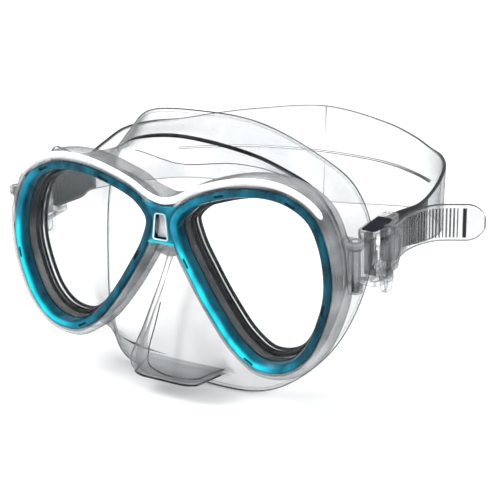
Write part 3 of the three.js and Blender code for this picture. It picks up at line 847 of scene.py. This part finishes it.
def nose_rings(grow, floor_rise=0.0):
    """Nose pocket sections from the bridge down, with rounded corners and a rounded floor."""
    table = np.array(NOSE, float)
    heights = curve(table, False, NOSE_STEPS)
    rings = []
    for k, (z, y, front, back) in enumerate(heights):
        f, b, face = front + grow, back + grow, y - grow
        half = [(0, face - 0.05), (f * 0.62, face + 0.1), (f, face + 2.4),
                ((f + b) / 2, (face + NOSE_BACK) / 2), (b, NOSE_BACK)]
        ring = by_length(curve(half, False, 12), 40, False)
        whole = np.vstack([ring, (ring[1:] * [-1, 1])[::-1]])
        top = z + (floor_rise if k == len(heights) - 1 else 0)
        rings.append([(x, py, top) for x, py in whole])
    return rings


def make_skirt():
    """The silicone shell with its sight holes and nose pocket, and dark tubes laid along its rim, fold,
    crest, sight tubes and nose pocket as painted shade lines.
    """
    bulge = [(x * 1.012, y, z * 1.012) for x, y, z in
             ((np.array(SKIRT_FRONT) + np.array(SKIRT_FOLD)) / 2)]
    flare = [(x * 0.992, y, z * 0.992) for x, y, z in
             ((np.array(SKIRT_FOLD) + np.array(SKIRT_RIM)) / 2)]
    rows = [SKIRT_FRONT, bulge, SKIRT_FOLD, flare, SKIRT_RIM]

    def wall(inset, front_shift, past_rim):
        keys = np.array([skirt_ring(row, inset) for row in rows])
        keys[0] += [0, front_shift, 0]
        columns = np.array([curve(keys[:, i], False, 5) for i in range(keys.shape[1])])
        rings = list(columns.transpose(1, 0, 2))
        if past_rim:
            rings.append(rings[-1] + [0, past_rim, 0])
        return rings

    outer = fanned("outer", wall(0, 0, 0))
    inner = fanned("inner", wall(1.7, 2, 12))
    nose = skin("nose", nose_rings(0))
    nose_hollow = skin("nose_hollow", nose_rings(-1.6, 2))
    neck = eye_plug(-TUBE_OUTSET, LIP_FRONT - 1, -44)
    flange = eye_plug(-0.1, GLASS_FRONT, LIP_FRONT - GAP)
    seat = eye_plug(-1.2, GLASS_FRONT - 1, GLASS_BACK + GAP)
    sight = eye_plug(SIGHT, GLASS_FRONT - 2, *np.arange(GLASS_BACK, THROAT, 0.4), -39)
    join(outer, nose)
    for rings in (neck, flange):
        join(outer, *both("neck", rings, False))
    cut(outer, inner, nose_hollow)
    for rings in (seat, sight):
        cut(outer, *both("seat", rings, False))
    whole = smooth(outer, 32)
    # dark tubes that draw painted shade lines where the clear silicone's edges and folds look dark
    shade_lines = []

    def line(points, radius, loop=False):
        shade_lines.append(as_slot(smooth(tube("line", points, radius, loop, 8)), 1))

    rim_lip = smooth(tube("lip", skirt_ring(SKIRT_RIM, 0.87), 0.86, True))
    line(skirt_ring(SKIRT_RIM, 0.28), 0.27, True)
    fold = skirt_ring(SKIRT_FOLD, 0.2)
    brow = smoothstep(fold[:, 2], 8, 34) * smoothstep(fold[:, 0], -52, -12)
    cheek = smoothstep(-fold[:, 2], 36, 44) * hump(np.abs(fold[:, 0]), 22, 8)
    cheek[fold[:, 0] > 0] = 0
    # the fold's painted shade line is thicker over the brow and low on the wearer's right
    for weight, radius in ((brow, 0.84), (cheek, 0.6)):
        part = fold[weight > 0.04]
        order = np.argsort(part[:, 0])
        line(part[order], 0.08 + (radius - 0.08) * weight[weight > 0.04][order])
    crest = skirt_ring(bulge, 0.1)
    line(sorted((tuple(p) for p in crest if p[2] > 12 and -24 < p[0] < 58), key=lambda p: p[0]), 0.17)
    for offset, y, radius in ((-4.9, -49.6, 0.9), (-5.1, -47.3, 0.62), (-5.3, -44.4, 0.75)):
        ring = eye_plug(offset, y)[0]
        line(ring, radius, True)
        line(flipped(ring), radius, True)
    for points, radius in nose_lines():
        line(points, radius)
    whole = gather("skirt_shell", [whole, rim_lip, *shade_lines])

    def painted_shade(points):
        """Painted shade: grey of the lens seat and the sight tube's bands, and grey in the nose pocket that
        darkens towards its floor.
        """
        out, _ = eye_field(points)
        x, y, z = points.T
        throat = (np.abs(out - SIGHT) < 1) & (y < THROAT + 0.5)
        seat = (out > SIGHT - 0.3) & (out < -0.6) & (y < GLASS_BACK + 2)
        bands = 0.42 + 0.5 * hump(y, GLASS_BACK + 0.3, 0.5)
        bands = bands - 0.25 * hump(y, -45.8, 0.7) - 0.2 * hump(y, -48.4, 0.4)
        nose = (np.abs(x) < 22) & (y < NOSE_BACK - 1) & (z < -8)
        # painted shade in the nose pocket: darker towards its floor and in two upright strips
        shade = 0.05 + 0.28 * smoothstep(-z, 40, 51) + 0.16 * hump(x, -11, 2.2) + 0.1 * hump(x, 7.5, 1.5)
        return np.select([seat, throat, nose], [0.52, 0.72 * bands, shade])

    paint(whole, "painted_shade", painted_shade)
    make(whole, "mask", "clear_silicone", SILICONE, LINE, nodes=["skirt"])


def on_nose(share, height):
    """A point on the nose pocket; share is -2 and 2 at its back edges, -1 and 1 at its front corners."""
    table = curve(NOSE, False, NOSE_STEPS)[::-1]
    y, front, back = (np.interp(height, table[:, 0], table[:, k]) for k in (1, 2, 3))
    ahead, along = min(abs(share), 1), max(abs(share) - 1, 0)
    x = front * ahead + (back - front) * along
    corner = y + 2.4 * (max(ahead - 0.55, 0) / 0.45) ** 2
    return math.copysign(1, share) * x, corner + (NOSE_BACK - corner) * along, height


def nose_lines():
    """Dark tubes along the nose pocket as painted shade lines: at its floor, at the edge of a raised front
    panel and along the fold at its side.
    """
    floor = [on_nose(share, NOSE[-1][0] + 0.35) for share in np.linspace(-1.7, 1.7, 60)]
    panel = curve([on_nose(-0.34, -17), on_nose(-0.4, -27), on_nose(-0.42, -38), on_nose(-0.34, -43.2),
                   on_nose(-0.05, -46), on_nose(0.35, -46.8), on_nose(1, -46.4), on_nose(1.35, -46.6),
                   on_nose(1.8, -47.6)], False, 8)
    flank = [on_nose(-1.04, height) for height in np.linspace(-14, -47, 30)]
    return (floor, 0.45), (panel, 0.24), (flank, 0.14)


def fanned(name, rings):
    """A closed body through the rings with each end closed by a fan from its middle."""
    rings = np.asarray(rings, float)
    count, around = rings.shape[:2]
    faces = []
    for r in range(count - 1):
        a, b = r * around, (r + 1) * around
        faces += [(a + i, a + (i + 1) % around, b + (i + 1) % around, b + i) for i in range(around)]
    first, last = count * around, count * around + 1
    tail = (count - 1) * around
    faces += [(first, (i + 1) % around, i) for i in range(around)]
    faces += [(last, tail + i, tail + (i + 1) % around) for i in range(around)]
    points = np.vstack([rings.reshape(-1, 3), rings[0].mean(0), rings[-1].mean(0)])
    return solid(name, points, faces)


make_frame()
make_skirt()

# ---------- strap ----------
HEAD_FINE = 34          # length of the head band before the roller that is toothed
COARSE, FINE = 1.3, 0.26
PITCH = 1.5
GROOVE_DEPTH = 0.55
MARGIN = 1.7
SHADED_STEP = (8.0, 9.4)        # painted shade: a dark bar standing for the shade at the step before the grip end; its distance from the tip
RIBS_END = 10.6
TIP_R, TIP_ELLIPSE = 8, 8.3
TIP_SHADED_LENGTH = 0.5           # length of the painted shade over the very tip
# how dark the painted shade is in the rib grooves, over the toothed stretch before the roller, along the
# lower edge, along the top edge, and at the tip
RIB_SHADE, BAND_SHADE, EDGE_SHADE, CREST_SHADE, TIP_SHADE = 0.9, 0.9, 0.75, 1.0, 0.6


def strap_centre():
    """Dense stations of the left half, from behind the head to the tip: middle, up, half height."""
    start = local(-WRAP_R, ROLLER_Y)
    line = [*STRAP_LINE, (start[0], start[1] + 14, 21, 5)]
    points = [(x, y, (top + low) / 2, (top - low) / 2) for x, y, top, low in line]
    points.append((*start, STRAP_WIDTH / 2))
    spans = len(points) - 1
    phantom = (-points[1][0], *points[1][1:])
    per = 80
    at = curve([phantom, *points], False, per)[per:-1]
    lean = smoothstep(np.arange(spans * per) / per, spans - 3, spans)[:, None]
    up = (1 - lean) * [0, 0, 1] + lean * TURN[:, 2]
    head = np.column_stack([at[:, :3], up, at[:, 3]])
    turns = math.pi + math.pi * np.linspace(0, 1, 40)
    wrap = [[*local(math.cos(a) * WRAP_R, ROLLER_Y + math.sin(a) * WRAP_R), *TURN[:, 2], STRAP_WIDTH / 2]
            for a in turns]
    tail_line = by_length(curve([(x, y, 0) for x, y in TAIL_LINE], False, 40), 300, False)
    length = np.linalg.norm(np.diff(tail_line, axis=0), axis=1).sum()
    left = length * (1 - np.linspace(0, 1, 300))
    round_off = np.sqrt(1 - (np.maximum(TIP_R - left, 0) / TIP_ELLIPSE) ** 2)
    tail = [[*local(*p), *TURN[:, 2], STRAP_WIDTH / 2 * r] for p, r in zip(tail_line, round_off)]
    return np.vstack([head, wrap, tail[1:]]), len(head)


def strap_stations():
    """Stations at even steps, coarse behind the head and fine where the strap is ribbed."""
    dense, head_end = strap_centre()
    s = np.concatenate([[0], np.cumsum(np.linalg.norm(np.diff(dense[:, :3], axis=0), axis=1))])
    fine_from = s[head_end] - HEAD_FINE
    want = np.concatenate([np.arange(0, fine_from, COARSE), np.arange(fine_from, s[-1], FINE), [s[-1]]])
    rows = np.column_stack([np.interp(want, s, dense[:, k]) for k in range(7)])
    return rows, want, s[-1], np.searchsorted(want, s[head_end])


def groove_at(s, total, fine_from):
    """How deep the tooth groove is, 0 to 1, at a distance along the strap."""
    phase = np.abs((s / PITCH) % 1 - 0.5) * 2
    wave = smoothstep(phase, 0.38, 0.62)
    started = smoothstep(s, fine_from + 1, fine_from + 2)
    ended = 1 - smoothstep(s, total - RIBS_END - 0.4, total - RIBS_END)
    return wave * started * ended


def make_strap():
    """Both halves of the strap: slit behind the head, ribbed, and turned back round each roller."""
    rows, s, total, head_end = strap_stations()
    at, up, half = rows[:, :3], rows[:, 3:6], rows[:, 6]
    up = up / np.linalg.norm(up, axis=1)[:, None]
    along = np.gradient(at, axis=0)
    along /= np.linalg.norm(along, axis=1)[:, None]
    side = np.cross(along, up)
    side /= np.linalg.norm(side, axis=1)[:, None]
    fine_from = total - (s[-1] - s[np.argmax(np.diff(s) < 0.5)])
    groove = groove_at(s, total, fine_from)
    t = STRAP_THICKNESS / 2
    left = total - s
    step_shade = smoothstep(left, SHADED_STEP[0] - 0.2, SHADED_STEP[0]) * (1 - smoothstep(left, SHADED_STEP[1], SHADED_STEP[1] + 0.2))
    head = (side[:, 0] < 0) & (s > fine_from)
    near = (1 - smoothstep(at[:, 1], 52, 68)) * (np.arange(len(rows)) < head_end)
    rings = []
    painted_shades = []
    for i in range(len(rows)):
        h = half[i]
        soft, strip = min(0.45, h * 0.3), min(0.4, h * 0.15)
        inner = max(h - MARGIN, h * 0.5)
        ledge = max(inner + 0.25, h * 0.55)
        g = t - GROOVE_DEPTH * groove[i]
        section = [(0.5, -h), (t, -h + soft), (t, -ledge), (g, -inner), (g, -inner / 2), (g, 0),
                   (g, inner / 2), (g, inner), (t, ledge), (t, h - soft), (0.5, h), (-0.5, h),
                   (-t, h - soft), (-t, h - soft - strip), (-t, h / 2), (-t, 0), (-t, -h / 2),
                   (-t, strip + soft - h), (-t, -h + soft), (-0.5, -h)]
        rings.append([at[i] + side[i] * a + up[i] * b for a, b in section])
        # painted shade: the grip end grey, the grooves and the step's bar dark, the toothed stretch before
        # the roller near black, the edges dark and the near strand's top edge thick black
        row = np.zeros(len(section))
        row[2:9] = 0.1 * (left[i] < SHADED_STEP[0])
        row[3:8] = max(smoothstep(groove[i], 0.5, 1) * RIB_SHADE, step_shade[i], row[4])
        row[1:19] = np.maximum(row[1:19], BAND_SHADE * head[i])
        row[[0, 19]] = EDGE_SHADE
        row[[10, 11]] = CREST_SHADE
        row[[9, 12]] = np.maximum(row[[9, 12]], BAND_SHADE * near[i])
        if left[i] < TIP_SHADED_LENGTH:
            row[:] = TIP_SHADE
        painted_shades.append(row)
    left_half = skin("strap_half_left", rings)
    tree = KDTree(len(rows) * len(section))
    for index, point in enumerate(np.array(rings).reshape(-1, 3)):
        tree.insert(point, index)
    tree.balance()
    painted_shades = np.array(painted_shades).ravel()

    def painted_shade(points):
        """Painted shade of the nearest point of the strap before its slit was cut."""
        return np.array([painted_shades[tree.find(point)[1]] for point in points])

    back = at[:, 1] > SLIT_FRONT
    slit = [[at[i] * [1, 1, 0] + side[i] * a * [1, 1, 0] + [0, 0, z] for a, z in
             ((-3, SLIT_Z - SLIT_HEIGHT / 2), (-3, SLIT_Z + SLIT_HEIGHT / 2),
              (3, SLIT_Z + SLIT_HEIGHT / 2), (3, SLIT_Z - SLIT_HEIGHT / 2))] for i in np.flatnonzero(back)]
    slit.insert(0, [p - np.array([2, 0, 0]) for p in slit[0]])
    cut(left_half, skin("slit", slit))
    smooth(left_half, 40)
    paint(left_half, "painted_shade", painted_shade)
    # the slit's upper and lower faces take the dark line material: painted shade in the gap
    for face in left_half.data.polygons:
        behind = face.center.y > SLIT_FRONT * MM
        if behind and abs(face.center.z / MM - SLIT_Z) < SLIT_HEIGHT and abs(face.normal.z) > 0.7:
            face.material_index = 1
        if face.center.x < 0.1 * MM and abs(face.normal.x) > 0.9:
            face.material_index = 2
    for obj, side_name in ((other_side(left_half, "strap_half_right"), "right"), (left_half, "left")):
        dress(obj, STRAP, LINE, SEAM)
        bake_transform(obj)
    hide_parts("strap")


make_strap()

# ---------- buckles ----------
CHEEK = {"inner": 8.5, "outer": 11.2, "start": 8, "end": 33.4}
LEVER = {"x": 5.6, "y": 17.5, "barrel": 1.9, "pin": 0.8, "half": 8.2}
ROLLER_PIN = 0.8
# the buckle's clear plastic is lightly grey all over; painted shade greys the lever's raised border and
# darkens the edges
BUCKLE_BASE_GREY, BORDER_SHADE, CREASE_SHADE = 0.03, 0.3, 0.5
BORDER_TOP = 6.8        # height on the lever above which its raised border starts


def cheek_outline():
    arc = [(math.sin(a) * 4.2, CHEEK["end"] - 4.2 + math.cos(a) * 4.2)
           for a in np.linspace(math.pi / 2, -math.pi / 2, 16)]
    front = [(-4, CHEEK["start"] + 2), (-2, CHEEK["start"]), (4.4, CHEEK["start"]),
             (LEVER["x"] + 1.6, LEVER["y"] - 2.4), (LEVER["x"] + 2.2, LEVER["y"]),
             (LEVER["x"] + 1.2, LEVER["y"] + 2.4), (4.4, LEVER["y"] + 5)]
    return np.vstack([rounded(front, 1.0, 4), arc])


def buckle_body():
    """The swivelling housing with its two cheeks, knuckle, tie bar, tab and bosses, and a dark plate on its
    top cheek as a painted dark reflection.
    """
    low, high = CHEEK["inner"], CHEEK["outer"]
    whole = buckle_plate("body", cheek_outline(), low, high, 0.6)
    cheek = buckle_plate("cheek", cheek_outline(), -high, -low, 0.6)
    cross = buckle_plate("cross", rectangle(-3, 2.8, CHEEK["start"], CHEEK["start"] + 5),
                         -high + 0.2, high - 0.2, 0.7)
    web = buckle_plate("web", rectangle(-2, 2.4, 1, CHEEK["start"] + 1), -7.4, 7.4, 0.5)
    knuckle = buckle_bar("knuckle", KNUCKLE_R, -7.4, 7.4, rounding=0.5)
    tie = buckle_plate("tie", rectangle(-4, -2.7, CHEEK["start"] + 3, CHEEK["start"] + 12, 0.4),
                       -high + 0.2, high - 0.2, 0.3)
    tab_outline = rounded([(19, -10.7), (28, -10.7), (27.4, -18.7), (26, -20.1), (21, -19.1)], 1.2, 4)
    tab = slab("tab", tab_outline, 0.4, 3, 0.6, lambda a, b, c: local(c, a, b))
    join(whole, cheek, cross, web, knuckle, tie, tab)
    bosses = []
    for radius, rise, x, y, rounding in ((2.3, 0.6, 0, ROLLER_Y, 0.4),
                                         (1.6, 0.4, LEVER["x"] - 0.6, LEVER["y"], 0.3)):
        bosses += [buckle_bar("boss", radius, high - 0.3, high + rise, x, y, rounding),
                   buckle_bar("boss", radius, -high - rise, -high + 0.3, x, y, rounding)]
    join(whole, *bosses)
    cut(whole, buckle_bar("bore", SWIVEL_PIN_R + GAP, -12, 12, rounding=0.05),
        buckle_bar("bore", ROLLER_PIN + GAP, -10.4, 10.4, 0, ROLLER_Y, 0.05),
        buckle_bar("bore", LEVER["pin"] + GAP, -10.4, 10.4, LEVER["x"], LEVER["y"], 0.05))
    smooth(whole, 30)
    # painted dark reflection: a thin dark plate on the top cheek, where the clear cheek seen edgewise looks
    # black
    dark_plate_outline = rounded([(-2.6, 10), (3.4, 10), (4.4, 15), (3.6, 25), (-2.8, 25.6)], 1.0, 4)
    inset = as_slot(buckle_plate("inset", dark_plate_outline, high - 0.25, high + 0.25, 0.2), 1)
    cap = as_slot(buckle_bar("cap", 1.5, high + 0.5, high + 0.85, 0, ROLLER_Y, 0.3), 2)
    whole = gather("buckle_shell_left", [whole, smooth(inset, 30), smooth(cap, 30)])
    edges = creases(whole)
    # painted shade: dark lines along the housing's edges
    return paint(whole, "painted_shade", lambda points: np.maximum(BUCKLE_BASE_GREY, CREASE_SHADE * edges))


def lever_shell():
    """Thumb plate with a raised border, its hinge barrel and the toothed nose that grips the strap."""
    face = rounded([(6.2, 7.4), (26.5, 8), (27.8, 6.5), (27.6, -1.5), (22.5, -8.1), (11, -8.1),
                    (6.2, -3)], 1.6, 5)
    panel = np.array(face)
    middle = panel.mean(0)
    panel = middle + (panel - middle) * [0.76, 0.72]
    place = lambda a, b, c: local(c, a, b)
    plate = slab("plate", face, 5.1, 7.1, 0.5, place)
    cut(plate, slab("recess", panel, 6.5, 9, 0.3, place))
    barrel = buckle_bar("barrel", LEVER["barrel"], -LEVER["half"], LEVER["half"],
                        LEVER["x"], LEVER["y"], 0.3)
    nose = buckle_plate("teeth", [(6.2, 25), (5.9, 27.4), (4.5, 28), (4.5, 27), (4.9, 26.6), (4.5, 26.2),
                                  (4.5, 25.2), (4.9, 24.8), (4.6, 24.3), (5.2, 22)], -6.5, 6.5, 0.1)
    join(plate, barrel, nose)
    cut(plate, buckle_bar("bore", LEVER["pin"] + GAP, -12, 12, LEVER["x"], LEVER["y"], 0.05))
    plate.name = "lever_shell_left"
    smooth(plate, 30)
    edges = creases(plate)

    def painted_shade(points):
        """Painted shade: the raised border is greyer than the panel inside it, and the edges are dark."""
        out = ((points - SWIVEL["place"]) @ TURN)[:, 0]
        return np.maximum(np.where(out > BORDER_TOP, BORDER_SHADE, BUCKLE_BASE_GREY), CREASE_SHADE * edges)

    return paint(plate, "painted_shade", painted_shade)


def spring_strip():
    """The leaf of spring steel under the lever's plate."""
    path = curve([(3.2, 12.6), (3.2, 10.4), (3.5, 9.2), (4.2, 8.2), (4.7, 7.4)], False, 8)
    line = by_length(path, 24, False)
    rings = []
    t = 0.16
    tangent = np.gradient(line, axis=0)
    tangent /= np.linalg.norm(tangent, axis=1)[:, None]
    for (x, y), (u, v) in zip(line, tangent):
        rings.append([local(x + v * a, y - u * a, b) for a, b in
                      ((-t, -2.8), (t, -2.8), (t, -1), (t, 1), (t, 2.8), (-t, 2.8), (-t, 1), (-t, -1))])
    return smooth(skin("spring_strip_left", rings), 40)


def make_buckles():
    shells = {"body": buckle_body(), "lever": lever_shell(), "spring": spring_strip()}
    for side in ("right", "left"):
        made = {}
        for part, obj in shells.items():
            made[part] = other_side(obj, obj.name.replace("left", "right")) if side == "right" else obj
        make(made["body"], "buckle_" + side, "clear_plastic", BUCKLE, SMOKE, STEEL,
             nodes=["buckle_body_" + side])
        make(made["lever"], "lever_" + side, "clear_plastic", BUCKLE, nodes=["release_lever_" + side])
        make(made["spring"], "buckle_" + side, "steel", STEEL, nodes=["lever_spring_" + side])
        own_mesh(made["spring"])


make_buckles()

# ---------- CAD pieces that keep their shape ----------


def keep(name, material, bevel):
    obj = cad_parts[name]
    obj.data.materials.clear()
    obj.data.materials.append(material)
    if bevel:
        step = obj.modifiers.new("edges", "BEVEL")
        step.width = bevel * MM
        step.segments = 3
        step.limit_method = "ANGLE"
        step.angle_limit = math.radians(40)


for side in ("left", "right"):
    keep("strap_roller_" + side, SMOKE, 0.15)
    for pin in ("swivel_pin_", "roller_pin_", "lever_pin_"):
        keep(pin + side, STEEL, 0.12)

# ---------- studio ----------
LAMPS = (("key", (-0.55, -0.5, 0.75), 0.5, 6), ("fill", (0.8, -0.35, 0.5), 0.4, 3))   # place, size, watts


def studio():
    """A plain pale floor, a soft white surround and two soft lamps."""
    floor_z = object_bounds()[0].z
    mesh = bpy.data.meshes.new("floor")
    size = 6.0
    corners = [(-size, -size, floor_z), (size, -size, floor_z), (size, size, floor_z), (-size, size, floor_z)]
    mesh.from_pydata(corners, [], [(0, 1, 2, 3)])
    floor = bpy.data.objects.new("floor", mesh)
    bpy.context.scene.collection.objects.link(floor)
    dress(floor, solid_plastic("floor_card", (0.93, 0.93, 0.93), (0.95, 0.95, 0.95), 0.8, 50, 0.0001))
    floor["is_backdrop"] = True
    world = bpy.data.worlds.new("studio")
    world.use_nodes = True
    tree = world.node_tree
    tree.nodes.clear()
    place = node(tree, "ShaderNodeTexCoord").outputs["Generated"]
    height = node(tree, "ShaderNodeSeparateXYZ", {0: place}).outputs["Z"]
    shade = mixed(tree, ranged(tree, height, 0, 1, -0.1, 0.75), (0.72, 0.73, 0.75), (1.0, 1.0, 1.0))
    light = node(tree, "ShaderNodeBackground", {"Color": shade, "Strength": 1.25}).outputs[0]
    node(tree, "ShaderNodeOutputWorld", {"Surface": light})
    bpy.context.scene.world = world
    for name, place, size, power in LAMPS:
        data = bpy.data.lights.new(name, "AREA")
        data.size, data.energy = size, power
        lamp = bpy.data.objects.new(name, data)
        lamp.location = place
        lamp.rotation_mode = "QUATERNION"
        lamp.rotation_quaternion = (-Vector(place)).to_track_quat("-Z", "Y")
        bpy.context.scene.collection.objects.link(lamp)


studio()
